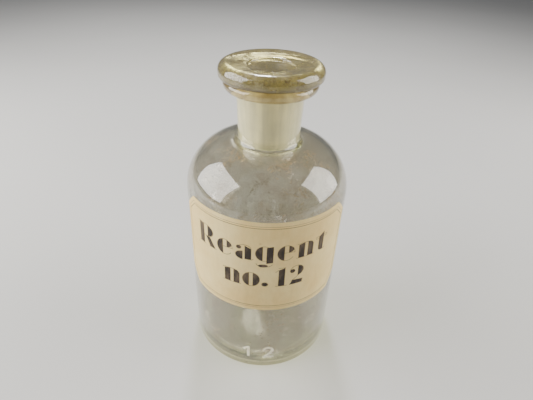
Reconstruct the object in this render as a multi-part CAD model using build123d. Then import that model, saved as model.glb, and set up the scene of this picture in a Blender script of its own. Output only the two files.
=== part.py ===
from build123d import *

import os
from math import asin, atan, atan2, cos, degrees, hypot, radians, sin, sqrt, tan

# Reagent bottle with a ground glass stopper, about 500 ml.
# Millimetres, +Z up. The origin is the centre of the base, on the surface that the bottle stands on.
# The label faces -Y. The stopper lifts out along +Z.

# ---- Driving dimensions: glass body -------------------------------------------------------
BODY_RADIUS = 43.0
WALL = 3.0
SHOULDER_START = 106.2        # height at which the straight wall turns into the shoulder
SHOULDER_RADIUS = 25.3        # outer radius of the shoulder curve
HEEL_RADIUS = 1.2             # outer corner between wall and base
FOOT_INNER = 34.0             # the bottle stands on a flat ring from here to the heel
PUNT_HEIGHT = 2.5             # hollow under the base
BASE_THICKNESS = 8.0          # at the foot of the inside wall
BASE_RISE = 1.6               # the inside of the base is domed by this much
INSIDE_CORNER = 3.0

# ---- Driving dimensions: neck, lip and ground socket --------------------------------------
NECK_FOOT = 135.4             # height at which the neck leaves its blend
NECK_FOOT_RADIUS = 15.7
NECK_TOP_RADIUS = 16.7        # at the underside of the lip
NECK_BLEND = 3.0              # concave blend between shoulder and neck
THROAT_BLEND = 3.5            # convex blend between socket and inside of the shoulder
LIP_RADIUS = 22.9
LIP_UNDERSIDE = 157.3         # height at which the lip grows out of the neck
NECK_SLOPE = (NECK_TOP_RADIUS - NECK_FOOT_RADIUS) / (LIP_UNDERSIDE - NECK_FOOT)
LIP_BLEND = 1.2               # concave blend between neck and lip
LIP_TOP = 163.0
LIP_EDGE = 2.4                # radius of the lip's upper edge
LIP_FLANK = LIP_TOP - LIP_EDGE - LIP_UNDERSIDE     # radius of the lip's fuller lower edge
MOUTH_RADIUS = 12.0           # ground socket at the mouth
MOUTH_CHAMFER = 0.5
TAPER = 0.1                   # the ground joint's diameter shrinks by 1 in 10
FIT_CLEARANCE = 0.04          # radial, between plug and socket
BLEND_ROUNDS = 6              # the centre of a blend settles in this many steps

# ---- Driving dimensions: stopper ----------------------------------------------------------
PLUG_BOTTOM = 131.1
PLUG_CHAMFER = 0.6
SEAT_GAP = 0.4                # the head stays this far above the lip
HEAD_RADIUS = 25.1
HEAD_TOP = 170.3              # highest ring of the rounded rim
HEAD_UPPER_EDGE = 4.0
HEAD_LOWER_EDGE = 1.4
HEAD_SLOPE = 9.5              # degrees; inside the rim the top slopes down to the recess
RECESS_RADIUS = 12.0
RECESS_DEPTH = 0.9

# ---- Driving dimensions: label and markings -----------------------------------------------
PAPER = 0.16
LABEL_BOTTOM = 51.2
LABEL_TOP = 109.7
LABEL_HALF_WIDTH = 51.0       # measured round the glass
LABEL_CUT_CORNER = 8.0
INK = 0.05
ENAMEL = 0.15
BELOW_LINE = 5.0              # room for a letter's tail under its baseline
ABOVE_LINE = 14.0             # room for the tallest letter
NUMBER_ROOM = 11.0            # room for the painted digits above their baseline
THROUGH = 2.0                 # a flat outline is pushed this far both ways through a thin film

LINES = [                     # lettering: text, left end round the glass, baseline, space between letters
    ("Reagent", -37.8, 86.6, 1.75),
    ("no. 12", -20.9, 69.1, 1.35),
]
WORD_SPACE = 2.6
NUMBER = "12"                 # painted by hand near the base
NUMBER_START = -10.5
NUMBER_BASELINE = 8.6
NUMBER_PITCH = 12.0
BRUSH = 1.5

# Stencil letters as (width, strokes), in mm from the left end of the baseline. Only the thick strokes
# are inked. A bow is the part of an ellipse (centre, half width, half height) beyond an upright cut.
LETTERS = {
    "R": (11.8, [("slab", (1.0, 0), (4.4, 0), (4.4, 12.4), (1.0, 12.4)),
                 ("bow", (6.2, 9.1), 4.4, 3.3, 7.0),
                 ("slab", (5.7, 5.6), (8.7, 5.6), (12.0, 0), (8.5, 0))]),
    "e": (8.2, [("bow", (4.2, 4.5), 4.2, 4.6, 3.3),
                ("bow", (4.2, 6.7), 3.9, 2.3, 5.4)]),
    "a": (8.6, [("slab", (4.9, 0), (8.2, 0), (8.2, 7.0), (4.9, 8.6)),
                ("bow", (3.9, 2.4), 3.6, 2.5, 3.8),
                ("spot", (1.9, 7.2), 1.3, 1.2)]),
    "g": (9.0, [("bow", (4.2, 4.6), 4.2, 4.5, 3.4),
                ("slab", (5.3, -1.7), (8.6, -1.2), (8.6, 9.2), (5.3, 8.6)),
                ("spot", (3.7, -3.2), 2.4, 1.0)]),
    "n": (9.2, [("slab", (0.6, 0), (3.9, 0), (3.9, 9.1), (0.6, 8.4)),
                ("slab", (5.6, 0), (8.9, 0), (8.9, 7.1), (7.6, 8.8), (5.6, 9.0))]),
    "t": (6.0, [("slab", (1.4, 1.3), (2.4, 0), (4.7, 0), (4.7, 11.4), (1.4, 9.2))]),
    "o": (8.6, [("bow", (4.3, 4.5), 4.3, 4.6, 3.3),
                ("bow", (4.3, 4.5), 4.3, 4.6, 5.2)]),
    ".": (2.9, [("spot", (1.45, 1.5), 1.45, 1.15)]),
    "1": (5.6, [("slab", (1.4, 0), (4.7, 0), (4.7, 12.3), (1.4, 11.1))]),
    "2": (7.8, [("spot", (1.7, 9.2), 1.4, 1.3),
                ("bow", (4.2, 8.9), 3.6, 3.4, 4.7),
                ("slab", (0.5, 0), (7.4, 0), (7.9, 2.4), (2.1, 2.9))]),
}
# Brush strokes of the painted digits: points joined by straight pulls of a round brush.
DIGITS = {
    "1": [(0.8, 7.2), (3.8, 9.3), (3.8, 0.8)],
    "2": [(0.8, 7.2), (1.4, 8.7), (3.3, 9.4), (5.3, 8.7), (6.0, 6.9), (5.0, 4.8), (0.8, 0.8), (6.8, 0.8)],
}


# ---- Helpers ------------------------------------------------------------------------------
def on_circle(centre, radius, angle):
    return (centre[0] + radius * cos(radians(angle)), centre[1] + radius * sin(radians(angle)))


def arc(centre, radius, start, end):
    """Arc between two angles in degrees, in the (radius, height) plane."""
    middle = (start + end) / 2
    return ThreePointArc(*[on_circle(centre, radius, angle) for angle in (start, middle, end)])


def dome(edge_radius, edge_height, rise):
    """Points of a shallow round dome, from its edge to its middle on the axis."""
    radius = (edge_radius ** 2 + rise ** 2) / (2 * rise)
    centre = (0, edge_height + rise - radius)
    edge_angle = degrees(asin(edge_radius / radius))
    return [on_circle(centre, radius, 90 - angle) for angle in (edge_angle, edge_angle / 2, 0)]


def socket_radius(height):
    return MOUTH_RADIUS - (LIP_TOP - height) * TAPER / 2


def neck_radius(height):
    return NECK_FOOT_RADIUS + (height - NECK_FOOT) * NECK_SLOPE


def turned(name, edges):
    """Solid of revolution from the closed outline of one half section."""
    solid = revolve(make_face([Plane.XZ * edge for edge in edges]), Axis.Z, 360)
    solid.label = name
    return solid


def wall_plane(around, height):
    """Plane that touches the body's wall at a distance round the glass from the middle of the front."""
    angle = radians(-90 + degrees(around / BODY_RADIUS))
    outward = (cos(angle), sin(angle), 0)
    origin = (BODY_RADIUS * outward[0], BODY_RADIUS * outward[1], height)
    return Plane(origin=origin, x_dir=(-sin(angle), cos(angle), 0), z_dir=outward)


# ---- Bottle -------------------------------------------------------------------------------
def bottle():
    """Blown body, shoulder, neck and lip in one piece, with the ground socket in the neck."""
    shoulder = (BODY_RADIUS - SHOULDER_RADIUS, SHOULDER_START)
    inner_shoulder_radius = SHOULDER_RADIUS - WALL
    inner_radius = BODY_RADIUS - WALL

    # concave blend from the shoulder curve to the neck, which widens upwards
    lean = atan(NECK_SLOPE)
    reach = SHOULDER_RADIUS + NECK_BLEND
    blend_z = shoulder[1] + reach
    for _ in range(BLEND_ROUNDS):
        blend_x = neck_radius(blend_z) + NECK_BLEND / cos(lean)
        blend_z = shoulder[1] + sqrt(reach ** 2 - (blend_x - shoulder[0]) ** 2)
    shoulder_end = 90 - degrees(asin((blend_x - shoulder[0]) / reach))
    neck_foot = on_circle((blend_x, blend_z), NECK_BLEND, 180 - degrees(lean))

    # concave blend from the neck to the underside of the lip
    blend_top = LIP_UNDERSIDE - LIP_BLEND
    under_lip = (neck_radius(blend_top) + LIP_BLEND / cos(lean), blend_top)
    neck_top = on_circle(under_lip, LIP_BLEND, 180 - degrees(lean))

    # convex blend from the socket to the inside of the shoulder
    throat_reach = inner_shoulder_radius + THROAT_BLEND
    throat_z = shoulder[1] + throat_reach
    for _ in range(BLEND_ROUNDS):
        throat_x = socket_radius(throat_z) + THROAT_BLEND
        throat_z = shoulder[1] + sqrt(throat_reach ** 2 - (shoulder[0] - throat_x) ** 2)
    throat_angle = 90 + degrees(asin((shoulder[0] - throat_x) / throat_reach))

    lip_edge = (LIP_RADIUS - LIP_EDGE, LIP_TOP - LIP_EDGE)
    lip_flank = (LIP_RADIUS - LIP_FLANK, lip_edge[1])
    mouth = (socket_radius(LIP_TOP) + MOUTH_CHAMFER, LIP_TOP)
    socket_top = (socket_radius(LIP_TOP - 2 * MOUTH_CHAMFER), LIP_TOP - 2 * MOUTH_CHAMFER)
    socket_bottom = (throat_x - THROAT_BLEND, throat_z)
    corner = (inner_radius - INSIDE_CORNER, BASE_THICKNESS + INSIDE_CORNER)
    heel = (BODY_RADIUS - HEEL_RADIUS, HEEL_RADIUS)

    return turned("bottle", [
        ThreePointArc(*reversed(dome(FOOT_INNER, 0, PUNT_HEIGHT))),
        Line((FOOT_INNER, 0), (heel[0], 0)),
        arc(heel, HEEL_RADIUS, -90, 0),
        Line((BODY_RADIUS, HEEL_RADIUS), (BODY_RADIUS, SHOULDER_START)),
        arc(shoulder, SHOULDER_RADIUS, 0, shoulder_end),
        arc((blend_x, blend_z), NECK_BLEND, shoulder_end - 180, -180 - degrees(lean)),
        Line(neck_foot, neck_top),
        arc(under_lip, LIP_BLEND, 180 - degrees(lean), 90),
        Line((under_lip[0], LIP_UNDERSIDE), (lip_flank[0], LIP_UNDERSIDE)),
        arc(lip_flank, LIP_FLANK, -90, 0),
        arc(lip_edge, LIP_EDGE, 0, 90),
        Line((lip_edge[0], LIP_TOP), mouth),
        Line(mouth, socket_top),
        Line(socket_top, socket_bottom),
        arc((throat_x, throat_z), THROAT_BLEND, 180, 180 + throat_angle),
        arc(shoulder, inner_shoulder_radius, throat_angle, 0),
        Line((inner_radius, SHOULDER_START), (inner_radius, corner[1])),
        arc(corner, INSIDE_CORNER, 0, -90),
        ThreePointArc(*dome(corner[0], BASE_THICKNESS, BASE_RISE)),
        Line((0, BASE_THICKNESS + BASE_RISE), (0, PUNT_HEIGHT)),
    ])


# ---- Stopper ------------------------------------------------------------------------------
def stopper():
    """Solid glass plug and disc head in one piece."""
    def plug_radius(height):
        return socket_radius(height) - FIT_CLEARANCE

    under = LIP_TOP + SEAT_GAP
    upper = (HEAD_RADIUS - HEAD_UPPER_EDGE, HEAD_TOP - HEAD_UPPER_EDGE)
    lower = (HEAD_RADIUS - HEAD_LOWER_EDGE, under + HEAD_LOWER_EDGE)
    slope_start = on_circle(upper, HEAD_UPPER_EDGE, 90 + HEAD_SLOPE)
    recess_rim = slope_start[1] - (slope_start[0] - RECESS_RADIUS) * tan(radians(HEAD_SLOPE))
    floor = recess_rim - RECESS_DEPTH
    return turned("stopper", [
        Line((0, PLUG_BOTTOM), (plug_radius(PLUG_BOTTOM) - PLUG_CHAMFER, PLUG_BOTTOM)),
        Line((plug_radius(PLUG_BOTTOM) - PLUG_CHAMFER, PLUG_BOTTOM),
             (plug_radius(PLUG_BOTTOM + PLUG_CHAMFER), PLUG_BOTTOM + PLUG_CHAMFER)),
        Line((plug_radius(PLUG_BOTTOM + PLUG_CHAMFER), PLUG_BOTTOM + PLUG_CHAMFER),
             (plug_radius(under), under)),
        Line((plug_radius(under), under), (lower[0], under)),
        arc(lower, HEAD_LOWER_EDGE, -90, 0),
        Line((HEAD_RADIUS, lower[1]), (HEAD_RADIUS, upper[1])),
        arc(upper, HEAD_UPPER_EDGE, 0, 90 + HEAD_SLOPE),
        Line(slope_start, (RECESS_RADIUS, recess_rim)),
        Line((RECESS_RADIUS, recess_rim), (RECESS_RADIUS - RECESS_DEPTH, floor)),
        Line((RECESS_RADIUS - RECESS_DEPTH, floor), (0, floor)),
        Line((0, floor), (0, PLUG_BOTTOM)),
    ])


# ---- Label and markings -------------------------------------------------------------------
def skin(inside, outside, bottom, top, half_width):
    """Thin sheet over the front of the glass, following the wall and the start of the shoulder."""
    shoulder = (BODY_RADIUS - SHOULDER_RADIUS, SHOULDER_START)
    half_turn = degrees(half_width / BODY_RADIUS)
    inner, outer = BODY_RADIUS + inside, BODY_RADIUS + outside
    if top > SHOULDER_START:
        end = degrees(asin((top - SHOULDER_START) / SHOULDER_RADIUS))
        low, high = SHOULDER_RADIUS + inside, SHOULDER_RADIUS + outside
        edges = [
            Line((inner, bottom), (outer, bottom)),
            Line((outer, bottom), (outer, SHOULDER_START)),
            arc(shoulder, high, 0, end),
            Line(on_circle(shoulder, high, end), on_circle(shoulder, low, end)),
            arc(shoulder, low, end, 0),
            Line((inner, SHOULDER_START), (inner, bottom)),
        ]
    else:
        corners = [(inner, bottom), (outer, bottom), (outer, top), (inner, top)]
        edges = [Line(corners[i], corners[(i + 1) % 4]) for i in range(4)]
    section = Rot(Z=-90 - half_turn) * make_face([Plane.XZ * edge for edge in edges])
    return revolve(section, Axis.Z, 2 * half_turn)


def paper_label():
    """Paper with cut corners, glued round the front of the body."""
    paper = skin(0, PAPER, LABEL_BOTTOM, LABEL_TOP, LABEL_HALF_WIDTH)
    cut = LABEL_CUT_CORNER
    for side in (-1, 1):
        for up, height in ((-1, LABEL_BOTTOM), (1, LABEL_TOP)):
            beyond = Polyline((-side * cut, up * cut / 2), (side * cut, up * cut / 2),
                              (side * cut, -up * cut * 1.5), (-side * cut, up * cut / 2))
            corner = wall_plane(side * (LABEL_HALF_WIDTH - cut / 2), height) * make_face(beyond)
            paper -= extrude(corner, THROUGH, both=True)
    paper.label = "paper_label"
    return paper


def letter_stroke(kind, *shape):
    """One inked stroke as a flat face, and the place of its middle along the line."""
    if kind == "slab":
        middle = sum(x for x, _ in shape) / len(shape)
        return middle, make_face(Polyline(*[(x - middle, y) for x, y in shape], close=True))
    centre, half_width, half_height = shape[:3]
    ellipse = Ellipse(half_width, half_height)
    middle = centre[0]
    if kind == "bow":
        cut = shape[3] - centre[0]
        side = 1 if cut > 0 else -1
        ellipse &= Pos(cut + side * half_width, 0) * Rectangle(2 * half_width, 4 * half_height)
    return middle, Pos(0, centre[1]) * ellipse


def wrapped(faces, inside, outside, bottom, top):
    """Flat faces, each with its place round the glass and its baseline, as films on the wall."""
    film = skin(inside, outside, bottom, top, LABEL_HALF_WIDTH)
    solids = []
    for around, baseline, face in faces:
        stamp = extrude(wall_plane(around, baseline) * face, THROUGH, both=True)
        solids += (film & stamp).solids()
    return solids


def label_lettering():
    """Ink of the two lines of generic text, one thin solid for each stroke."""
    solids = []
    for text, start, baseline, gap in LINES:
        faces = []
        for letter in text:
            if letter == " ":
                start += WORD_SPACE
                continue
            width, strokes = LETTERS[letter]
            for stroke in strokes:
                middle, face = letter_stroke(*stroke)
                faces.append((start + middle, baseline, face))
            start += width + gap
        solids += wrapped(faces, PAPER, PAPER + INK, baseline - BELOW_LINE, baseline + ABOVE_LINE)
    return Compound(label="label_lettering", children=solids)


def brushed(x0, y0, x1, y1):
    """Straight pull of a round brush."""
    length = hypot(x1 - x0, y1 - y0)
    turn = degrees(atan2(y1 - y0, x1 - x0))
    return Pos((x0 + x1) / 2, (y0 + y1) / 2) * Rot(Z=turn) * SlotCenterToCenter(length, BRUSH)


def painted_number():
    """Enamel digits painted straight on the glass."""
    faces = []
    for place, digit in enumerate(NUMBER):
        points = DIGITS[digit]
        middle = sum(x for x, _ in points) / len(points)
        shape = Sketch()
        for start, end in zip(points, points[1:]):
            shape += brushed(start[0] - middle, start[1], end[0] - middle, end[1])
        faces.append((NUMBER_START + place * NUMBER_PITCH + middle, NUMBER_BASELINE, shape))
    solids = wrapped(faces, 0, ENAMEL, NUMBER_BASELINE - BRUSH, NUMBER_BASELINE + NUMBER_ROOM)
    return Compound(label="painted_number", children=solids)


# ---- Write one file per piece -------------------------------------------------------------
os.makedirs("parts", exist_ok=True)
for piece in (bottle(), stopper(), paper_label(), label_lettering(), painted_number()):
    export_step(piece, f"parts/{piece.label}.step")
    print(piece.label, "volume", round(piece.volume, 1), "mm3")
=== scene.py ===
from math import asin, atan, cos, degrees, hypot, pi, radians, sin, sqrt, tan

import bpy
from mathutils import Matrix, Vector


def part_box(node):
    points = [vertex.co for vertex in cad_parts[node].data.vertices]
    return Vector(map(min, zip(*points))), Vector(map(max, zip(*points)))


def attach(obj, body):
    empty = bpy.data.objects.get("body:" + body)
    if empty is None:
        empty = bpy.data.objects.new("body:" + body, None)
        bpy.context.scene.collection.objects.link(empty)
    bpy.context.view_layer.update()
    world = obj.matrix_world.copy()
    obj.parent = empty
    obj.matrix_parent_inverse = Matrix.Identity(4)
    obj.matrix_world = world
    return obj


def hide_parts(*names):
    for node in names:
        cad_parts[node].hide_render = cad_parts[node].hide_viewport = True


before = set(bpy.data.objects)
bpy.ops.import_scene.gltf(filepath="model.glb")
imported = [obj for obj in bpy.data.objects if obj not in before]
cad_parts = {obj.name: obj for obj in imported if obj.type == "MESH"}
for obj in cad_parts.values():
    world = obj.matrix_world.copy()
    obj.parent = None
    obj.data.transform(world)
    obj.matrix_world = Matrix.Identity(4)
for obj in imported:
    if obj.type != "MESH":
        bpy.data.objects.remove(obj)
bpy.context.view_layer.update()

MM = 0.001

# ---- Sizes taken from the frame -----------------------------------------------------------
glass_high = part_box("bottle")[1]
label_low, label_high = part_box("paper_label")
stopper_low, stopper_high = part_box("stopper")
BODY_RADIUS = glass_high.x / MM
LIP_TOP = glass_high.z / MM
LABEL_BOTTOM = label_low.z / MM
LABEL_TOP = label_high.z / MM
HEAD_TOP = stopper_high.z / MM
HEAD_RADIUS = stopper_high.x / MM
PLUG_BOTTOM = stopper_low.z / MM

# ---- Other sizes of the glass -------------------------------------------------------------
WALL = 3.0
SHOULDER_START = 106.2        # height at which the straight wall turns into the shoulder
SHOULDER_RADIUS = 25.3
HEEL_RADIUS = 1.2
FOOT_INNER = 34.0             # the bottle stands on a flat ring from here to the heel
PUNT_HEIGHT = 2.5             # hollow under the base
BASE_THICKNESS = 8.0          # at the foot of the inside wall
BASE_RISE = 1.6               # the inside of the base is domed by this much
INSIDE_CORNER = 3.0
NECK_FOOT = 135.4
NECK_FOOT_RADIUS = 15.7
NECK_TOP_RADIUS = 16.7
NECK_BLEND = 3.0
THROAT_BLEND = 3.5
LIP_RADIUS = 22.9
LIP_UNDERSIDE = 157.3
LIP_BLEND = 1.2
LIP_EDGE = 2.4
LIP_FLANK = LIP_TOP - LIP_EDGE - LIP_UNDERSIDE
NECK_SLOPE = (NECK_TOP_RADIUS - NECK_FOOT_RADIUS) / (LIP_UNDERSIDE - NECK_FOOT)
MOUTH_CHAMFER = 0.5
MOUTH_RADIUS = 12.0
TAPER = 0.1                   # the ground joint's diameter shrinks by 1 in 10
FIT_CLEARANCE = 0.04          # radial, between plug and socket
SEAT_GAP = 0.4                # the head stays this far above the lip
HEAD_UPPER_EDGE = 4.0
HEAD_LOWER_EDGE = 1.4
HEAD_SLOPE = 9.5              # degrees; inside the rim the top slopes down to the recess
RECESS_RADIUS = 12.0
RECESS_DEPTH = 0.9
PLUG_CHAMFER = 0.6
TURN_STEPS = 160              # facets round the glass
BLEND_ROUNDS = 6              # the centre of a blend settles in this many steps
WALL_WAVE_SIZE = 26           # the blown wall swells and thins over this distance
WALL_WAVE_DEPTH = 0.7
WAVES_END = 126               # the waves fade out below this height, over WAVES_FADE
WAVES_FADE = 8
NEAR_WALL = 0.3               # how near a point is to the inner wall when it counts as on it
JOINT_RADII = (9, 12.2)       # the ground faces lie between these radii
SOCKET_RUN = 1.6              # the socket is ground this far below the plug
PLUG_BARE = 0.2               # the plug's end face starts this far below its ground side

# ---- Label, lettering and number ----------------------------------------------------------
LABEL_HALF_WIDTH = 51.0       # measured round the glass
LABEL_CUT_CORNER = 8.0
PAPER = 0.12
PAPER_LIFT = 0.02             # glue between paper and glass
CUT_PITCH = 1.5               # printed work is cut this finely, so that it can follow the round glass
INK_FILM = (0.005, 0.015)     # height above the paper, and thickness
LINE_FILM = (0.003, 0.008)    # the same, for pencil and ruled lines, so that they lie under the ink
HAIR_WIDTH = 0.28
RULE_INSET = 3.3
RULE_WIDTH = 0.34
RULE_GAP = 1.1                # from the wide rule out to the thin one
RULE_CORNER = 0.8             # cut of a rule's corner over the cut of the paper's
LINES = [                     # lettering: text, left end round the glass, baseline, space between letters
    ("Reagent", -37.8, 86.6, 1.75),
    ("no. 12", -20.9, 69.1, 1.35),
]
WORD_SPACE = 2.6
NUMBER = "12"
NUMBER_START = -10.5
NUMBER_BASELINE = 8.6
NUMBER_PITCH = 12.0
BRUSH = 1.5
BRUSH_SQUASH = 0.25           # thickness of a brush stroke over its width
ENAMEL_LIFT = 0.02            # the middle of a stroke lies this far off the glass

# Stencil letters as (width, strokes), in mm from the left end of the baseline. Only the thick strokes
# are inked. A bow is the part of an ellipse (centre, half width, half height) beyond an upright cut.
LETTERS = {
    "R": (11.8, [("slab", (1.0, 0), (4.4, 0), (4.4, 12.4), (1.0, 12.4)),
                 ("bow", (6.2, 9.1), 4.4, 3.3, 7.0),
                 ("slab", (5.7, 5.6), (8.7, 5.6), (12.0, 0), (8.5, 0))]),
    "e": (8.2, [("bow", (4.2, 4.5), 4.2, 4.6, 3.3),
                ("bow", (4.2, 6.7), 3.9, 2.3, 5.4)]),
    "a": (8.6, [("slab", (4.9, 0), (8.2, 0), (8.2, 7.0), (4.9, 8.6)),
                ("bow", (3.9, 2.4), 3.6, 2.5, 3.8),
                ("spot", (1.9, 7.2), 1.3, 1.2)]),
    "g": (9.0, [("bow", (4.2, 4.6), 4.2, 4.5, 3.4),
                ("slab", (5.3, -1.7), (8.6, -1.2), (8.6, 9.2), (5.3, 8.6)),
                ("spot", (3.7, -3.2), 2.4, 1.0)]),
    "n": (9.2, [("slab", (0.6, 0), (3.9, 0), (3.9, 9.1), (0.6, 8.4)),
                ("slab", (5.6, 0), (8.9, 0), (8.9, 7.1), (7.6, 8.8), (5.6, 9.0))]),
    "t": (6.0, [("slab", (1.4, 1.3), (2.4, 0), (4.7, 0), (4.7, 11.4), (1.4, 9.2))]),
    "o": (8.6, [("bow", (4.3, 4.5), 4.3, 4.6, 3.3),
                ("bow", (4.3, 4.5), 4.3, 4.6, 5.2)]),
    ".": (2.9, [("spot", (1.45, 1.5), 1.45, 1.15)]),
    "1": (5.6, [("slab", (1.4, 0), (4.7, 0), (4.7, 12.3), (1.4, 11.1))]),
    "2": (7.8, [("spot", (1.7, 9.2), 1.4, 1.3),
                ("bow", (4.2, 8.9), 3.6, 3.4, 4.7),
                ("slab", (0.5, 0), (7.4, 0), (7.9, 2.4), (2.1, 2.9))]),
}
# Brush strokes of the painted digits: points joined by straight pulls of a round brush.
DIGITS = {
    "1": [(0.8, 7.2), (3.8, 9.3), (3.8, 0.8)],
    "2": [(0.8, 7.2), (1.4, 8.7), (3.3, 9.4), (5.3, 8.7), (6.0, 6.9), (5.0, 4.8), (0.8, 0.8), (6.8, 0.8)],
}


# ---- Small helpers ------------------------------------------------------------------------
def start_clean():
    """Object mode, with nothing selected."""
    if bpy.context.object and bpy.context.object.mode != "OBJECT":
        bpy.ops.object.mode_set(mode="OBJECT")
    bpy.ops.object.select_all(action="DESELECT")


def select_only(piece):
    """Makes a piece the only selected one, and the active one."""
    start_clean()
    piece.select_set(True)
    bpy.context.view_layer.objects.active = piece


def tone(red, green, blue):
    """Linear colour from the 0 to 255 values of a paint chart."""
    chart = [value / 255 for value in (red, green, blue)]
    return [v / 12.92 if v <= 0.04045 else ((v + 0.055) / 1.055) ** 2.4 for v in chart] + [1.0]


def on_circle(centre, radius, angle):
    return (centre[0] + radius * cos(radians(angle)), centre[1] + radius * sin(radians(angle)))


def arc(centre, radius, start, end, steps):
    return [on_circle(centre, radius, start + (end - start) * i / steps) for i in range(steps + 1)]


def oval_arc(centre, half_width, half_height, start, end, steps=12):
    turns = [radians(start + (end - start) * i / steps) for i in range(steps + 1)]
    return [(centre[0] + half_width * cos(turn), centre[1] + half_height * sin(turn)) for turn in turns]


def line(start, end, steps=1):
    return [tuple(a + (b - a) * i / steps for a, b in zip(start, end)) for i in range(steps + 1)]


def dome(edge_radius, edge_height, rise, steps):
    """Shallow round dome, from its edge to its middle on the axis."""
    radius = (edge_radius ** 2 + rise ** 2) / (2 * rise)
    edge_angle = degrees(asin(edge_radius / radius))
    return arc((0, edge_height + rise - radius), radius, 90 - edge_angle, 90, steps)


def socket_radius(height):
    """Radius of the ground socket, which widens towards the lip."""
    return MOUTH_RADIUS - (LIP_TOP - height) * TAPER / 2


def neck_radius(height):
    """Outer radius of the neck, which widens a little towards the lip."""
    return NECK_FOOT_RADIUS + (height - NECK_FOOT) * NECK_SLOPE


def drawn(name, points):
    """New mesh in edit mode: one point pulled along an outline in the plane Y = 0."""
    start_clean()
    bpy.ops.mesh.primitive_plane_add(size=MM)
    piece = bpy.context.object
    piece.name = piece.data.name = name
    bpy.ops.object.mode_set(mode="EDIT")
    bpy.ops.mesh.merge(type="CENTER")
    at = points[0]
    bpy.ops.transform.translate(value=(at[0] * MM, 0, at[1] * MM))
    for point in points[1:]:
        step = ((point[0] - at[0]) * MM, 0, (point[1] - at[1]) * MM)
        if hypot(step[0], step[2]) > 1e-7:
            bpy.ops.mesh.extrude_region_move(TRANSFORM_OT_translate={"value": step})
            at = point
    return piece


def turned(name, points, smooth=35):
    """Closed glass body turned from the outline of one half section."""
    piece = drawn(name, points)
    bpy.ops.mesh.select_all(action="SELECT")
    bpy.ops.mesh.spin(steps=TURN_STEPS, angle=2 * pi, center=(0, 0, 0), axis=(0, 0, 1))
    bpy.ops.mesh.select_all(action="SELECT")
    bpy.ops.mesh.remove_doubles(threshold=2e-6)
    bpy.ops.mesh.normals_make_consistent(inside=False)
    bpy.ops.object.mode_set(mode="OBJECT")
    bpy.ops.object.shade_smooth_by_angle(angle=radians(smooth))
    return piece


def apply_modifier(piece, kind, **values):
    select_only(piece)
    modifier = piece.modifiers.new(kind.lower(), kind)
    for key, value in values.items():
        setattr(modifier, key, value)
    bpy.ops.object.modifier_apply(modifier=modifier.name)


def group_of(piece, name, inside):
    """Vertex group of the points for which inside(radius, height), in mm, gives a weight above 0."""
    group = piece.vertex_groups.new(name=name)
    for vertex in piece.data.vertices:
        weight = inside(hypot(vertex.co.x, vertex.co.y) / MM, vertex.co.z / MM)
        if weight > 0:
            group.add([vertex.index], min(weight, 1.0), "REPLACE")
    return name


def waves(name, size, strength):
    """Soft cloud texture and settings for a Displace modifier, sizes in mm."""
    texture = bpy.data.textures.new(name, "CLOUDS")
    texture.noise_scale = size * MM
    texture.noise_depth = 1
    return {"texture": texture, "strength": strength * MM, "mid_level": 0.5, "texture_coords": "LOCAL"}


def dress(piece, body, slot_name, *replaced):
    """Hangs a piece on the body that it rides on and hides the frame nodes that it replaces; the slot name is
    not used.
    """
    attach(piece, body)
    if replaced:
        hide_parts(*replaced)


# Pencil outlines that finish each letter: straight lines, and arcs of ovals of half a turn at most.
HAIRS = {
    "R": [[(0, 12.6), (6.4, 12.6)], oval_arc((6.2, 9.1), 4.6, 3.5, -90, 90), [(4.4, 5.6), (6.4, 5.6)],
          [(0, -0.1), (5.5, -0.1)], [(8, -0.1), (12.7, -0.1)]],
    "e": [oval_arc((4.2, 4.5), 4.35, 4.75, 0, 180), oval_arc((4.2, 4.5), 4.35, 4.75, 180, 325),
          [(3.3, 4.7), (8.5, 4.7)]],
    "a": [oval_arc((4.7, 6.7), 3.5, 2.4, 15, 165), oval_arc((3.9, 2.4), 3.75, 2.65, 90, 270),
          [(8.2, -0.1), (9.3, 0.7)]],
    "g": [oval_arc((4.2, 4.6), 4.35, 4.65, 90, 270), oval_arc((4.2, 4.6), 4.35, 4.65, -90, 90),
          oval_arc((4.4, -1.7), 4.1, 2.3, 180, 345)],
    "n": [oval_arc((4.9, 6.9), 3.8, 2.3, 25, 160), [(-0.3, -0.1), (4.6, -0.1)], [(4.9, -0.1), (9.6, -0.1)],
          [(-0.4, 8.7), (3.9, 9.2)]],
    "t": [[(-0.6, 9.3), (6.6, 9.3)], [(-0.6, 9.3), (-0.6, 8.2), (1.3, 8.2)],
          [(6.6, 9.3), (6.6, 8.2), (4.8, 8.2)], oval_arc((4.3, 1.5), 2.1, 1.6, 200, 340)],
    "o": [oval_arc((4.3, 4.5), 4.45, 4.75, 0, 180), oval_arc((4.3, 4.5), 4.45, 4.75, 180, 360)],
    ".": [oval_arc((1.45, 1.5), 1.65, 1.35, 0, 180), oval_arc((1.45, 1.5), 1.65, 1.35, 180, 360)],
    "1": [[(-0.3, 9.8), (1.4, 11.1)], [(-0.1, -0.1), (6.2, -0.1)], [(1.2, 12.4), (4.9, 12.4)]],
    "2": [oval_arc((4.1, 9.0), 3.75, 3.55, -15, 165), [(7.5, 7.7), (1.2, 2.1)], [(0.2, -0.1), (7.9, -0.1)]],
}


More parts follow.
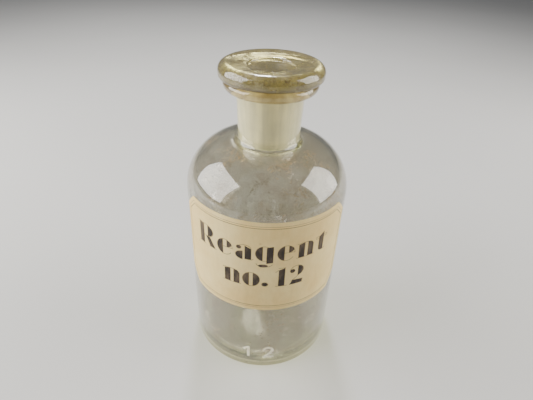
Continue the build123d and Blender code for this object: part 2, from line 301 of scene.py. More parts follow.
# ---- Node helpers -------------------------------------------------------------------------
class Recipe:
    """A new material with its main shader, and short calls that add nodes to it."""

    def __init__(self, name):
        self.material = bpy.data.materials.new(name)
        self.material.use_nodes = True
        self.tree = self.material.node_tree
        self.nodes = self.tree.nodes
        self.shader = self.nodes["Principled BSDF"]
        self.output = self.nodes["Material Output"]
        self.place = self.nodes.new("ShaderNodeTexCoord").outputs["Object"]

    def link(self, source, target):
        self.tree.links.new(source, target)

    def set(self, **values):
        for key, value in values.items():
            self.shader.inputs[key.replace("_", " ")].default_value = value

    def noise(self, scale, detail=3.0, rough=0.5, stretch=(1, 1, 1), distortion=0.0):
        node = self.nodes.new("ShaderNodeTexNoise")
        node.inputs["Scale"].default_value = scale
        node.inputs["Detail"].default_value = detail
        node.inputs["Roughness"].default_value = rough
        node.inputs["Distortion"].default_value = distortion
        if stretch == (1, 1, 1):
            self.link(self.place, node.inputs["Vector"])
        else:
            mapping = self.nodes.new("ShaderNodeMapping")
            mapping.inputs["Scale"].default_value = stretch
            self.link(self.place, mapping.inputs["Vector"])
            self.link(mapping.outputs["Vector"], node.inputs["Vector"])
        return node.outputs["Fac"]

    def spots(self, scale, size):
        """Sparse round spots: 1 in a spot, 0 outside."""
        node = self.nodes.new("ShaderNodeTexVoronoi")
        node.inputs["Scale"].default_value = scale
        self.link(self.place, node.inputs["Vector"])
        return self.ramp(node.outputs["Distance"], (0.0, 1.0), (size, 0.0))

    def ramp(self, source, *stops):
        """Grey or colour ramp; a stop is (place, value)."""
        node = self.nodes.new("ShaderNodeValToRGB")
        points = node.color_ramp.elements
        while len(points) < len(stops):
            points.new(0.5)
        for point, (place, value) in zip(points, stops):
            point.position = place
            point.color = value if isinstance(value, (list, tuple)) else (value, value, value, 1)
        self.link(source, node.inputs["Fac"])
        return node.outputs["Color"]

    def mix(self, kind, factor, a, b):
        """Colour mix of two sockets or colours; factor is a socket or a number."""
        node = self.nodes.new("ShaderNodeMix")
        node.data_type = "RGBA"
        node.blend_type = kind
        for socket, value in ((node.inputs[0], factor), (node.inputs[6], a), (node.inputs[7], b)):
            if isinstance(value, bpy.types.NodeSocket):
                self.link(value, socket)
            else:
                socket.default_value = value
        return node.outputs[2]

    def maths(self, kind, a, b):
        node = self.nodes.new("ShaderNodeMath")
        node.operation = kind
        for socket, value in zip(node.inputs, (a, b)):
            if isinstance(value, bpy.types.NodeSocket):
                self.link(value, socket)
            else:
                socket.default_value = value
        return node.outputs[0]

    def axis(self, name):
        node = self.nodes.new("ShaderNodeSeparateXYZ")
        self.link(self.place, node.inputs["Vector"])
        return node.outputs[name]

    def beyond(self, radius, blend):
        """0 near the axis and 1 beyond a radius, with a soft step between; both in mm."""
        flat = self.nodes.new("ShaderNodeVectorMath")
        flat.operation = "MULTIPLY"
        flat.inputs[1].default_value = (1, 1, 0)
        self.link(self.place, flat.inputs[0])
        length = self.nodes.new("ShaderNodeVectorMath")
        length.operation = "LENGTH"
        self.link(flat.outputs[0], length.inputs[0])
        return self.step(length.outputs["Value"], radius, blend)

    def above(self, height, blend):
        """0 below a height and 1 above it, with a soft step between; both in mm."""
        return self.step(self.axis("Z"), height, blend)

    def step(self, source, middle, blend):
        node = self.nodes.new("ShaderNodeMapRange")
        node.inputs["From Min"].default_value = (middle - blend / 2) * MM
        node.inputs["From Max"].default_value = (middle + blend / 2) * MM
        self.link(source, node.inputs["Value"])
        return node.outputs["Result"]

    def overlay(self, socket_name, factor, value):
        """Lays a value over what already drives one of the shader's sockets."""
        socket = self.shader.inputs[socket_name]
        if not isinstance(value, (list, bpy.types.NodeSocket)):
            value = [value, value, value, 1]
        self.link(self.mix("MIX", factor, socket.links[0].from_socket, value), socket)

    def bump(self, height, distance, strength=1.0):
        node = self.nodes.new("ShaderNodeBump")
        node.inputs["Distance"].default_value = distance * MM
        node.inputs["Strength"].default_value = strength
        self.link(height, node.inputs["Height"])
        if self.shader.inputs["Normal"].is_linked:
            self.link(self.shader.inputs["Normal"].links[0].from_socket, node.inputs["Normal"])
        self.link(node.outputs["Normal"], self.shader.inputs["Normal"])

    def let_lamps_through(self, colour):
        """Shadow rays pass the glass with a little tint, as soft light does."""
        path = self.nodes.new("ShaderNodeLightPath")
        clear = self.nodes.new("ShaderNodeBsdfTransparent")
        clear.inputs["Color"].default_value = colour
        chooser = self.nodes.new("ShaderNodeMixShader")
        self.link(path.outputs["Is Shadow Ray"], chooser.inputs["Fac"])
        self.link(self.shader.outputs["BSDF"], chooser.inputs[1])
        self.link(clear.outputs["BSDF"], chooser.inputs[2])
        self.link(chooser.outputs["Shader"], self.output.inputs["Surface"])

    def tinted_through(self, colour, density):
        """Tint that deepens with the thickness of the glass."""
        volume = self.nodes.new("ShaderNodeVolumeAbsorption")
        volume.inputs["Color"].default_value = colour
        volume.inputs["Density"].default_value = density
        self.link(volume.outputs["Volume"], self.output.inputs["Volume"])


# ---- Materials ----------------------------------------------------------------------------
def old_clear_glass(name, clean, grimy, depth_tint, density, film, gloss):
    """Blown glass: faint waves, brown smudges, wiped streaks and a thin film of grime.

    The film takes a little of the clearness away, and gloss is the roughness of clean and of grimy glass.
    """
    made = Recipe(name)
    made.set(IOR=1.5, Specular_IOR_Level=1.0, Coat_Weight=0.7, Coat_Roughness=gloss[0])
    smudges = made.ramp(made.noise(60, 6, 0.65, distortion=0.6), (0.44, 0.0), (0.66, 0.7))
    wiped = made.ramp(made.noise(110, 5, 0.65, (1, 1, 0.16)), (0.46, 0.0), (0.68, 0.5))
    grime = made.mix("ADD", 1.0, smudges, wiped)
    made.link(made.mix("MIX", grime, clean, grimy), made.shader.inputs["Base Color"])
    made.link(made.ramp(grime, (0.0, gloss[0]), (1.0, gloss[1])), made.shader.inputs["Roughness"])
    made.link(made.ramp(grime, (0.0, 1 - film), (1.0, 0.8 - film)), made.shader.inputs["Transmission Weight"])
    made.bump(made.noise(38, 1.5, 0.4, (1, 1, 0.6)), 0.5, 0.25)
    made.tinted_through(depth_tint, density)
    made.let_lamps_through([0.8, 0.8, 0.74, 1])
    return made


def settled_dirt(made, shade, grain, patches, cover):
    """Crumbs of dirt in loose patches; cover is how far the patches reach, from 0 to 1."""
    crumbs = made.ramp(made.noise(grain, 5, 0.8), (0.5, 0.0), (0.58, 1.0))
    where = made.ramp(made.noise(patches, 4, 0.65), (0.62 - 0.3 * cover, 0.0), (0.7 - 0.3 * cover, 1.0))
    dirt = made.mix("MULTIPLY", 1.0, crumbs, where)
    made.overlay("Base Color", dirt, shade)
    made.overlay("Transmission Weight", dirt, 0.25)


def bottle_glass():
    """The body's glass: crumbs and dust, amber grime round the lip, a paler neck, a glow in the base."""
    # The clear tint is darker than the real glass: painted shade that stands in for dark surroundings seen
    # through it.
    made = old_clear_glass("bottle_clear_glass", [0.63, 0.62, 0.57, 1], [0.38, 0.32, 0.23, 1],
                           [0.8, 0.83, 0.6, 1], 48, 0.03, (0.008, 0.1))
    settled_dirt(made, [0.33, 0.24, 0.12, 1], 760, 75, 0.26)
    settled_dirt(made, [0.86, 0.81, 0.68, 1], 950, 64, 0.1)
    neck = made.above(SHOULDER_START + SHOULDER_RADIUS + 2, 4)
    made.overlay("Base Color", neck, [0.9, 0.86, 0.7, 1])
    made.overlay("Transmission Weight", neck, 0.92)
    lip = made.above(LIP_UNDERSIDE + 0.6, 1.4)
    amber = made.ramp(made.noise(150, 4, 0.6), (0.38, [0.3, 0.19, 0.07, 1]), (0.64, [0.72, 0.56, 0.29, 1]))
    made.overlay("Base Color", lip, amber)
    made.overlay("Transmission Weight", lip, 0.72)
    low = made.ramp(made.above(BASE_THICKNESS + 1, 1.5), (0, 1), (1, 0))
    heel = made.mix("MULTIPLY", 1.0, made.beyond(38, 3), low)
    made.overlay("Base Color", heel, [0.56, 0.52, 0.33, 1])
    made.overlay("Transmission Weight", heel, 0.72)
    return made.material


def stopper_glass():
    """Yellower, older glass with a chalky bloom on the head, dirt in patches, and a dark broken line along
    its lower edge that is part wear and part painted shade above the lip.
    """
    made = old_clear_glass("stopper_clear_glass", [0.52, 0.47, 0.22, 1], [0.34, 0.28, 0.12, 1],
                           [0.8, 0.77, 0.42, 1], 65, 0.16, (0.03, 0.3))
    made.set(Coat_Weight=0.45)
    bloom = made.ramp(made.noise(120, 6, 0.75), (0.5, 0.0), (0.64, 0.75))
    made.overlay("Base Color", bloom, [0.8, 0.74, 0.5, 1])
    rings = made.ramp(made.noise(70, 4, 0.6, (1, 1, 14)), (0.5, 0.0), (0.66, 0.6))
    made.overlay("Base Color", rings, [0.4, 0.34, 0.13, 1])
    settled_dirt(made, [0.15, 0.11, 0.05, 1], 560, 85, 0.78)
    # Dark broken line round the head's lower outer edge: part wear and dirt, part painted shade between head
    # and lip.
    low = made.ramp(made.above(LIP_TOP + SEAT_GAP + 1.5, 1.0), (0, 1), (1, 0))
    worn_and_shaded = made.ramp(made.noise(420, 4, 0.7), (0.34, 0.3), (0.52, 1.0))
    edge = made.mix("MULTIPLY", 1.0, made.mix("MULTIPLY", 1.0, low, worn_and_shaded), made.beyond(22.5, 3))
    made.overlay("Base Color", edge, [0.14, 0.1, 0.04, 1])
    made.overlay("Transmission Weight", edge, 0.5)
    made.bump(made.noise(420, 4, 0.6), 0.05, 0.12)
    return made.material


def ground_glass(name, tint):
    """Frosted zone of the joint: rings of grinding, fine grit, greasy clearer patches, and upright light and
    dark streaks painted into the colour as reflections on the outer glass.
    """
    made = Recipe(name)
    made.set(IOR=1.5)
    rings = made.noise(60, 4, 0.6, (1, 1, 30))
    streaks = made.noise(260, 3, 0.55, (1, 1, 0.06))
    grit = made.noise(2600, 2, 0.6)
    made.link(made.ramp(made.mix("MIX", 0.5, rings, grit), (0.3, 0.5), (0.7, 0.72)),
              made.shader.inputs["Roughness"])
    # The upright streaks in the colour are painted reflections on the outer glass; the coarser noise mixed in
    # with them is mottling.
    darker = [value * 0.68 for value in tint[:3]] + [1]
    colour = made.ramp(made.mix("MIX", 0.4, streaks, made.noise(80, 4, 0.6)), (0.38, darker), (0.6, tint))
    made.link(colour, made.shader.inputs["Base Color"])
    made.link(made.ramp(streaks, (0.35, 0.4), (0.65, 0.25)), made.shader.inputs["Transmission Weight"])
    made.bump(grit, 0.05, 0.5)
    made.bump(rings, 0.06, 0.4)
    return made.material


def aged_paper():
    """Cream label paper: fibres, mottling, foxing, and brown along the edges."""
    made = Recipe("aged_label_paper")
    cream, buff, brown = tone(244, 222, 160), tone(229, 197, 128), tone(164, 122, 66)
    mottled = made.ramp(made.noise(34, 5, 0.6), (0.35, cream), (0.72, buff))
    fibres = made.ramp(made.noise(700, 3, 0.7, (1, 1, 0.25)), (0.3, 0.93), (0.7, 1.0))
    colour = made.mix("MULTIPLY", 1.0, mottled, fibres)
    middle = (LABEL_TOP + LABEL_BOTTOM) / 2 * MM
    reach = (LABEL_TOP - LABEL_BOTTOM) / 2 * MM
    from_middle = made.maths("ABSOLUTE", made.maths("SUBTRACT", made.axis("Z"), middle), 0)
    wobble = made.maths("MULTIPLY", made.noise(120, 5, 0.6), 0.05)
    nearness = made.maths("ADD", made.maths("DIVIDE", from_middle, reach), wobble)
    edge = made.ramp(nearness, (1.005, 0.0), (1.04, 0.5))
    colour = made.mix("MIX", edge, colour, brown)
    patches = made.ramp(made.noise(45, 2), (0.58, 0), (0.66, 0.6))
    foxing = made.mix("MULTIPLY", 1.0, made.spots(190, 0.2), patches)
    colour = made.mix("MIX", foxing, colour, brown)
    streaks = made.ramp(made.noise(60, 3, 0.6, (1.6, 1.6, 0.18)), (0.56, 0.0), (0.75, 0.24))
    colour = made.mix("MIX", streaks, colour, tone(200, 166, 108))
    made.link(colour, made.shader.inputs["Base Color"])
    made.link(made.ramp(made.noise(300, 3), (0.3, 0.72), (0.7, 0.9)), made.shader.inputs["Roughness"])
    made.set(Specular_IOR_Level=0.3)
    made.bump(made.noise(900, 4, 0.7), 0.03, 0.6)
    made.bump(made.noise(110, 3, 0.5), 0.12, 0.5)
    return made.material


def washed_ink(name, dark, pale, cover):
    """Water ink that pooled in places and let the paper show in others."""
    made = Recipe(name)
    wash = made.noise(210, 4, 0.65, (1.5, 1.5, 0.5))
    patches = made.noise(42, 2, 0.5)
    both = made.mix("MIX", 0.45, wash, patches)
    made.link(made.ramp(both, (cover[0], dark), (cover[1], pale)), made.shader.inputs["Base Color"])
    made.link(made.ramp(wash, (0.3, 0.55), (0.7, 0.85)), made.shader.inputs["Roughness"])
    made.set(Specular_IOR_Level=0.3)
    made.bump(made.noise(900, 3, 0.6), 0.02, 0.5)
    return made.material


def cream_enamel():
    """Hand-brushed enamel: soft gloss, brush lines and a cream tone that varies at random."""
    made = Recipe("cream_enamel")
    made.link(made.ramp(made.noise(400, 4, 0.6), (0.3, tone(236, 220, 176)), (0.5, tone(255, 250, 226))),
              made.shader.inputs["Base Color"])
    made.link(made.ramp(made.noise(500, 3), (0.3, 0.3), (0.7, 0.55)), made.shader.inputs["Roughness"])
    made.bump(made.noise(700, 3, 0.6), 0.06, 0.6)
    return made.material


def pale_floor():
    """Pale grey that varies only a little."""
    made = Recipe("pale_floor")
    made.link(made.ramp(made.noise(2.5, 3), (0.3, tone(196, 195, 192)), (0.7, tone(202, 201, 198))),
              made.shader.inputs["Base Color"])
    made.set(Roughness=0.75, Specular_IOR_Level=0.2)
    return made.material


# ---- Glass pieces -------------------------------------------------------------------------
def bottle_outline():
    """Half section of the bottle: up the outside, over the lip, down the inside."""
    shoulder = (BODY_RADIUS - SHOULDER_RADIUS, SHOULDER_START)
    inner_shoulder = SHOULDER_RADIUS - WALL
    inner_radius = BODY_RADIUS - WALL
    lean = atan(NECK_SLOPE)
    reach = SHOULDER_RADIUS + NECK_BLEND
    blend_z = shoulder[1] + reach
    for _ in range(BLEND_ROUNDS):
        blend_x = neck_radius(blend_z) + NECK_BLEND / cos(lean)
        blend_z = shoulder[1] + sqrt(reach ** 2 - (blend_x - shoulder[0]) ** 2)
    shoulder_end = 90 - degrees(asin((blend_x - shoulder[0]) / reach))
    blend_top = LIP_UNDERSIDE - LIP_BLEND
    under_lip = (neck_radius(blend_top) + LIP_BLEND / cos(lean), blend_top)
    neck_foot = on_circle((blend_x, blend_z), NECK_BLEND, 180 - degrees(lean))
    neck_top = on_circle(under_lip, LIP_BLEND, 180 - degrees(lean))
    throat_reach = inner_shoulder + THROAT_BLEND
    throat_z = shoulder[1] + throat_reach
    for _ in range(BLEND_ROUNDS):
        throat_x = socket_radius(throat_z) + THROAT_BLEND
        throat_z = shoulder[1] + sqrt(throat_reach ** 2 - (shoulder[0] - throat_x) ** 2)
    throat_angle = 90 + degrees(asin((shoulder[0] - throat_x) / throat_reach))
    lip_edge = (LIP_RADIUS - LIP_EDGE, LIP_TOP - LIP_EDGE)
    lip_flank = (LIP_RADIUS - LIP_FLANK, lip_edge[1])
    mouth = (socket_radius(LIP_TOP) + MOUTH_CHAMFER, LIP_TOP)
    socket_top = (socket_radius(LIP_TOP - 2 * MOUTH_CHAMFER), LIP_TOP - 2 * MOUTH_CHAMFER)
    corner = (inner_radius - INSIDE_CORNER, BASE_THICKNESS + INSIDE_CORNER)
    heel = (BODY_RADIUS - HEEL_RADIUS, HEEL_RADIUS)
    return [
        *reversed(dome(FOOT_INNER, 0, PUNT_HEIGHT, 10)),
        *line((FOOT_INNER, 0), (heel[0], 0), 3),
        *arc(heel, HEEL_RADIUS, -90, 0, 6),
        *line((BODY_RADIUS, HEEL_RADIUS), (BODY_RADIUS, SHOULDER_START), 8),
        *arc(shoulder, SHOULDER_RADIUS, 0, shoulder_end, 22),
        *arc((blend_x, blend_z), NECK_BLEND, shoulder_end - 180, -180 - degrees(lean), 8),
        *line(neck_foot, neck_top, 4),
        *arc(under_lip, LIP_BLEND, 180 - degrees(lean), 90, 4),
        *line((under_lip[0], LIP_UNDERSIDE), (lip_flank[0], LIP_UNDERSIDE)),
        *arc(lip_flank, LIP_FLANK, -90, 0, 8),
        *arc(lip_edge, LIP_EDGE, 0, 90, 7),
        *line((lip_edge[0], LIP_TOP), mouth, 2),
        *line(mouth, socket_top),
        *line(socket_top, (throat_x - THROAT_BLEND, throat_z), 10),
        *arc((throat_x, throat_z), THROAT_BLEND, 180, 180 + throat_angle, 10),
        *arc(shoulder, inner_shoulder, throat_angle, 0, 22),
        *line((inner_radius, SHOULDER_START), (inner_radius, corner[1]), 26),
        *arc(corner, INSIDE_CORNER, 0, -90, 8),
        *dome(corner[0], BASE_THICKNESS, BASE_RISE, 12),
    ]


def ground_faces(piece, low, high):
    """Gives the second material to the joint's faces between two heights, in mm."""
    near, far = JOINT_RADII
    for face in piece.data.polygons:
        radius = hypot(face.center.x, face.center.y) / MM
        if low < face.center.z / MM < high and near < radius < far:
            face.material_index = 1


def bottle():
    """The blown bottle: its inner wall is uneven and its socket is ground."""
    piece = turned("bottle_glass", bottle_outline())
    shoulder_centre = BODY_RADIUS - SHOULDER_RADIUS

    def inner_wall(radius, height):
        if radius > BODY_RADIUS - WALL + NEAR_WALL or height < BASE_THICKNESS - NEAR_WALL:
            return 0
        reach = hypot(radius - shoulder_centre, height - SHOULDER_START)
        if height > SHOULDER_START and reach > SHOULDER_RADIUS - WALL + NEAR_WALL:
            return 0
        return min(1.0, max(0.0, (WAVES_END - height) / WAVES_FADE))

    group = group_of(piece, "inner_wall", inner_wall)
    swell = waves("uneven_wall", WALL_WAVE_SIZE, WALL_WAVE_DEPTH)
    apply_modifier(piece, "DISPLACE", vertex_group=group, **swell)
    piece.vertex_groups.clear()
    piece.data.materials.append(bottle_glass())
    piece.data.materials.append(ground_glass("socket_ground_glass", [0.95, 0.87, 0.58, 1]))
    ground_faces(piece, PLUG_BOTTOM - SOCKET_RUN, LIP_TOP - 2 * MOUTH_CHAMFER)
    dress(piece, "bottle", "bottle_glass", "bottle")


def stopper_outline():
    """Half section of the stopper, from the plug's end up to the recess in the head."""
    def plug_radius(height):
        return socket_radius(height) - FIT_CLEARANCE

    under = LIP_TOP + SEAT_GAP
    upper = (HEAD_RADIUS - HEAD_UPPER_EDGE, HEAD_TOP - HEAD_UPPER_EDGE)
    lower = (HEAD_RADIUS - HEAD_LOWER_EDGE, under + HEAD_LOWER_EDGE)
    slope_start = on_circle(upper, HEAD_UPPER_EDGE, 90 + HEAD_SLOPE)
    rim = slope_start[1] - (slope_start[0] - RECESS_RADIUS) * tan(radians(HEAD_SLOPE))
    floor = rim - RECESS_DEPTH
    shoulder = (plug_radius(PLUG_BOTTOM + PLUG_CHAMFER), PLUG_BOTTOM + PLUG_CHAMFER)
    return [
        *line((0, PLUG_BOTTOM), (plug_radius(PLUG_BOTTOM) - PLUG_CHAMFER, PLUG_BOTTOM), 4),
        *line((plug_radius(PLUG_BOTTOM) - PLUG_CHAMFER, PLUG_BOTTOM), shoulder),
        *line(shoulder, (plug_radius(under), under), 10),
        *line((plug_radius(under), under), (lower[0], under), 6),
        *arc(lower, HEAD_LOWER_EDGE, -90, 0, 6),
        *line((HEAD_RADIUS, lower[1]), (HEAD_RADIUS, upper[1]), 2),
        *arc(upper, HEAD_UPPER_EDGE, 0, 90 + HEAD_SLOPE, 12),
        *line(slope_start, (RECESS_RADIUS, rim), 6),
        *arc((RECESS_RADIUS, floor), RECESS_DEPTH, 90, 180, 6),
        *line((RECESS_RADIUS - RECESS_DEPTH, floor), (0, floor), 6),
    ]


def stopper():
    """Plug and head in one piece of glass, with the plug's side ground."""
    piece = turned("stopper_glass", stopper_outline())
    piece.data.materials.append(stopper_glass())
    piece.data.materials.append(ground_glass("plug_ground_glass", [0.94, 0.86, 0.56, 1]))
    ground_faces(piece, PLUG_BOTTOM + PLUG_BARE, LIP_TOP - MOUTH_CHAMFER)
    dress(piece, "stopper", "stopper_glass", "stopper")


# ---- Flat work, wrapped round the glass ---------------------------------------------------
def wrap(piece, lift):
    """Rolls flat work (across = distance round the glass, up = height) on to the wall and shoulder."""
    centre = BODY_RADIUS - SHOULDER_RADIUS
    for vertex in piece.data.vertices:
        around, depth, height = vertex.co / MM
        out = lift - depth
        if height <= SHOULDER_START:
            radius, level = BODY_RADIUS + out, height
        else:
            angle = (height - SHOULDER_START) / SHOULDER_RADIUS
            radius = centre + (SHOULDER_RADIUS + out) * cos(angle)
            level = SHOULDER_START + (SHOULDER_RADIUS + out) * sin(angle)
        turn = around / BODY_RADIUS
        vertex.co = Vector((radius * sin(turn), -radius * cos(turn), level)) * MM


def slab(*corners):
    """Flat face with straight sides, in the plane Y = 0."""
    piece = drawn("slab", [*corners, corners[0]])
    bpy.ops.mesh.select_all(action="SELECT")
    bpy.ops.mesh.remove_doubles(threshold=1e-6)
    bpy.ops.mesh.edge_face_add()
    bpy.ops.object.mode_set(mode="OBJECT")
    return piece


def oval(centre, half_width, half_height):
    """Flat filled ellipse, left in edit mode."""
    start_clean()
    bpy.ops.mesh.primitive_circle_add(vertices=48, radius=MM, fill_type="NGON", rotation=(pi / 2, 0, 0))
    piece = bpy.context.object
    piece.scale = (half_width, half_height, 1)
    piece.location = (centre[0] * MM, 0, centre[1] * MM)
    bpy.ops.object.transform_apply(location=True, rotation=True, scale=True)
    bpy.ops.object.mode_set(mode="EDIT")
    bpy.ops.mesh.select_all(action="SELECT")
    return piece


def spot(centre, half_width, half_height):
    """Whole filled ellipse."""
    piece = oval(centre, half_width, half_height)
    bpy.ops.object.mode_set(mode="OBJECT")
    return piece


def bow(centre, half_width, half_height, cut):
    """Part of a filled ellipse on the outer side of an upright cut."""
    piece = oval(centre, half_width, half_height)
    side = 1 if cut > centre[0] else -1
    bpy.ops.mesh.bisect(plane_co=(cut * MM, 0, 0), plane_no=(side, 0, 0), clear_inner=True, use_fill=False)
    bpy.ops.object.mode_set(mode="OBJECT")
    return piece


STROKES = {"slab": slab, "bow": bow, "spot": spot}


def joined(name, pieces):
    """Joins pieces into the first one and names it."""
    start_clean()
    for piece in pieces:
        piece.select_set(True)
    bpy.context.view_layer.objects.active = pieces[0]
    bpy.ops.object.join()
    pieces[0].name = pieces[0].data.name = name
    return pieces[0]


def cut_across(piece, pitch, reach):
    """Cuts flat work by upright planes, so that it can follow the round wall."""
    select_only(piece)
    bpy.ops.object.mode_set(mode="EDIT")
    steps = int(2 * reach / pitch)
    for step in range(1, steps):
        bpy.ops.mesh.select_all(action="SELECT")
        place = (-reach + step * pitch) * MM
        bpy.ops.mesh.bisect(plane_co=(place, 0, 0), plane_no=(1, 0, 0))
    bpy.ops.object.mode_set(mode="OBJECT")


def film(piece, thickness):
    """Gives flat work its thickness, outwards."""
    select_only(piece)
    bpy.ops.object.mode_set(mode="EDIT")
    bpy.ops.mesh.select_all(action="SELECT")
    bpy.ops.mesh.normals_make_consistent(inside=False)
    bpy.ops.mesh.extrude_region_move(TRANSFORM_OT_translate={"value": (0, -thickness * MM, 0)})
    bpy.ops.mesh.select_all(action="SELECT")
    bpy.ops.mesh.normals_make_consistent(inside=False)
    bpy.ops.object.mode_set(mode="OBJECT")


def paper_label():
    """Paper with cut corners, cut from a flat sheet and rolled on to the glass."""
    start_clean()
    rise = SHOULDER_RADIUS * asin((LABEL_TOP - SHOULDER_START) / SHOULDER_RADIUS)
    top = SHOULDER_START + rise
    bpy.ops.mesh.primitive_grid_add(x_subdivisions=120, y_subdivisions=64, size=1, rotation=(pi / 2, 0, 0))
    piece = bpy.context.object
    piece.name = piece.data.name = "paper_label_sheet"
    piece.scale = (2 * LABEL_HALF_WIDTH * MM, (top - LABEL_BOTTOM) * MM, 1)
    piece.location = (0, 0, (top + LABEL_BOTTOM) / 2 * MM)
    bpy.ops.object.transform_apply(location=True, rotation=True, scale=True)
    bpy.ops.object.mode_set(mode="EDIT")
    for side in (-1, 1):
        for up, edge in ((-1, LABEL_BOTTOM), (1, top)):
            corner = ((LABEL_HALF_WIDTH - LABEL_CUT_CORNER) * side * MM, 0, edge * MM)
            bpy.ops.mesh.select_all(action="SELECT")
            bpy.ops.mesh.bisect(plane_co=corner, plane_no=(side, 0, up), clear_outer=True)
    bpy.ops.object.mode_set(mode="OBJECT")
    film(piece, PAPER)
    wrap(piece, PAPER_LIFT)
    bpy.ops.object.shade_smooth_by_angle(angle=radians(40))
    piece.data.materials.append(aged_paper())
    dress(piece, "bottle", "label_paper", "paper_label")


def along_lines():
    """Each letter of both lines, with its left end and its baseline."""
    for text, start, baseline, gap in LINES:
        for letter in text:
            if letter == " ":
                start += WORD_SPACE
                continue
            yield letter, start, baseline
            start += LETTERS[letter][0] + gap


def ribbon(points, width):
    """Closed outline of a thin line drawn through some points."""
    left, right = [], []
    for i, point in enumerate(points):
        before, after = points[max(i - 1, 0)], points[min(i + 1, len(points) - 1)]
        along = (after[0] - before[0], after[1] - before[1])
        scale = width / 2 / hypot(*along)
        left.append((point[0] - along[1] * scale, point[1] + along[0] * scale))
        right.append((point[0] + along[1] * scale, point[1] - along[0] * scale))
    return left + right[::-1]


def printed(name, pieces, layer, material):
    """Joins flat strokes, gives them a film's thickness and rolls them on to the paper."""
    lift, thickness = layer
    piece = joined(name, pieces)
    cut_across(piece, CUT_PITCH, LABEL_HALF_WIDTH)
    film(piece, thickness)
    wrap(piece, PAPER_LIFT + PAPER + lift)
    piece.data.materials.append(material)
    return piece


def label_lettering():
    """Inked strokes of both lines of generic text."""
    pieces = []
    for letter, start, baseline in along_lines():
        for kind, *shape in LETTERS[letter][1]:
            moved = [(p[0] + start, p[1] + baseline) if isinstance(p, tuple) else p for p in shape]
            if kind == "bow":
                moved[3] += start
            pieces.append(STROKES[kind](*moved))
    ink = washed_ink("stencil_ink", tone(52, 44, 38), tone(118, 102, 82), (0.42, 0.64))
    piece = printed("label_lettering_ink", pieces, INK_FILM, ink)
    dress(piece, "bottle", "label_ink", "label_lettering")


def label_hairlines():
    """Pencil outlines of the letters."""
    pieces = []
    for letter, start, baseline in along_lines():
        for points in HAIRS[letter]:
            pieces.append(slab(*ribbon([(x + start, z + baseline) for x, z in points], HAIR_WIDTH)))
    pencil = washed_ink("pencil_line", tone(96, 80, 60), tone(166, 144, 108), (0.4, 0.6))
    dress(printed("label_hairlines", pieces, LINE_FILM, pencil), "bottle", "label_ink")


def ruled_frame():
    """Two thin ruled lines round the label, inside its edges, with the corners cut like the paper's."""
    pieces = []
    for inset, width in ((RULE_INSET, RULE_WIDTH), (RULE_INSET - RULE_GAP, RULE_WIDTH / 2)):
        low, high = LABEL_BOTTOM + inset, LABEL_TOP - inset
        right = LABEL_HALF_WIDTH - inset
        cut = LABEL_CUT_CORNER * RULE_CORNER
        outline = [(-right + cut, low), (right - cut, low), (right, low + cut), (right, high - cut),
                   (right - cut, high), (-right + cut, high), (-right, high - cut), (-right, low + cut)]
        for start, end in zip(outline, outline[1:] + outline[:1]):
            pieces.append(slab(*ribbon([start, end], width)))
    ink = washed_ink("ruling_ink", tone(104, 82, 54), tone(160, 134, 96), (0.4, 0.62))
    dress(printed("label_ruled_frame", pieces, LINE_FILM, ink), "bottle", "label_ink")


def painted_number():
    """Digits pulled with a round brush: rounded strokes, pressed flat against the glass."""
    pieces = []
    for place, digit in enumerate(NUMBER):
        offset = NUMBER_START + place * NUMBER_PITCH
        curve = bpy.data.curves.new("brush_stroke", "CURVE")
        curve.dimensions = "3D"
        spline = curve.splines.new("NURBS")
        points = DIGITS[digit]
        spline.points.add(len(points) - 1)
        for control, (x, z) in zip(spline.points, points):
            control.co = ((x + offset) * MM, 0, (z + NUMBER_BASELINE) * MM, 1)
        spline.order_u = 2
        spline.use_endpoint_u = True
        curve.bevel_depth = BRUSH / 2 * MM
        curve.bevel_resolution = 4
        curve.use_fill_caps = True
        piece = bpy.data.objects.new("digit", curve)
        bpy.context.scene.collection.objects.link(piece)
        select_only(piece)
        bpy.ops.object.convert(target="MESH")
        pieces.append(bpy.context.object)
    piece = joined("painted_number_enamel", pieces)
    for vertex in piece.data.vertices:
        vertex.co.y *= BRUSH_SQUASH
    wrap(piece, ENAMEL_LIFT)
    bpy.ops.object.shade_smooth_by_angle(angle=radians(60))
    piece.data.materials.append(cream_enamel())
    dress(piece, "bottle", "number_enamel", "painted_number")


# ---- Studio -------------------------------------------------------------------------------
LAMP_AIM = 90                 # the lamps face this height on the bottle


def floor():
    """Plain pale floor, far wider than the bottle."""
    start_clean()
    bpy.ops.mesh.primitive_plane_add(size=6)
    piece = bpy.context.object
    piece.name = "studio_floor"
    piece.data.materials.append(pale_floor())


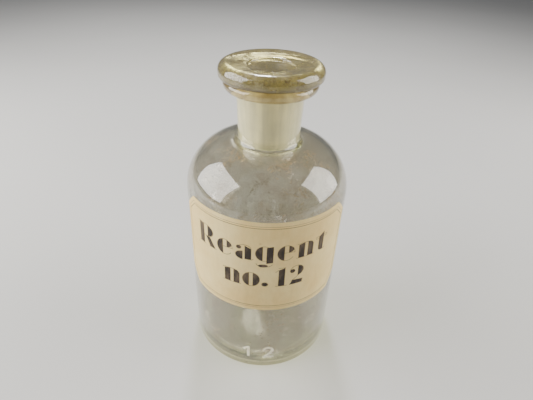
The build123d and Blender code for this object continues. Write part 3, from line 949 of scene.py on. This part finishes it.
def soft_box(name, azimuth, elevation, distance, width, height, power, colour):
    """Area lamp on a sphere round the bottle, in metres; azimuth 0 is in front and grows to the right."""
    lamp = bpy.data.lights.new(name, "AREA")
    lamp.shape = "RECTANGLE"
    lamp.size, lamp.size_y = width, height
    lamp.energy = power
    lamp.color = colour
    piece = bpy.data.objects.new(name, lamp)
    bpy.context.scene.collection.objects.link(piece)
    a, e = radians(azimuth), radians(elevation)
    away = Vector((sin(a) * cos(e), -cos(a) * cos(e), sin(e)))
    piece.location = Vector((0, 0, LAMP_AIM * MM)) + away * distance
    piece.rotation_euler = away.to_track_quat("Z", "Y").to_euler()


def studio():
    """Soft grey surroundings, a tall window on each side and a small lamp behind."""
    world = bpy.data.worlds.new("studio_world")
    world.use_nodes = True
    world.node_tree.nodes["Background"].inputs["Color"].default_value = (0.78, 0.8, 0.84, 1)
    world.node_tree.nodes["Background"].inputs["Strength"].default_value = 0.22
    bpy.context.scene.world = world
    soft_box("left_window", -84, 26, 0.75, 0.74, 0.72, 13, (1.0, 0.98, 0.95))
    soft_box("right_window", 92, 24, 0.8, 0.6, 0.76, 9, (1.0, 0.97, 0.93))
    soft_box("back_lamp", 185.8, 51.2, 1.2, 0.14, 0.24, 10, (1.0, 1.0, 1.0))


def camera():
    """Camera a hand's reach away, looking down at the bottle."""
    pitch, yaw, roll = 0.6026, 0.001, 0.0428
    forward = Vector((sin(yaw) * cos(pitch), cos(yaw) * cos(pitch), -sin(pitch)))
    side = Vector((cos(yaw), -sin(yaw), 0))
    above = side.cross(forward)
    across = side * cos(roll) + above * sin(roll)
    up = above * cos(roll) - side * sin(roll)
    data = bpy.data.cameras.new("camera")
    data.sensor_width = 36
    data.lens = 27.27
    data.clip_start = 0.01
    piece = bpy.data.objects.new("camera", data)
    bpy.context.scene.collection.objects.link(piece)
    turn = Matrix((across, up, -forward)).transposed().to_4x4()
    piece.matrix_world = Matrix.Translation((0, -0.18795, 0.22241)) @ turn
    bpy.context.scene.camera = piece


camera()
studio()
floor()
bottle()
stopper()
paper_label()
label_lettering()
label_hairlines()
ruled_frame()
painted_number()
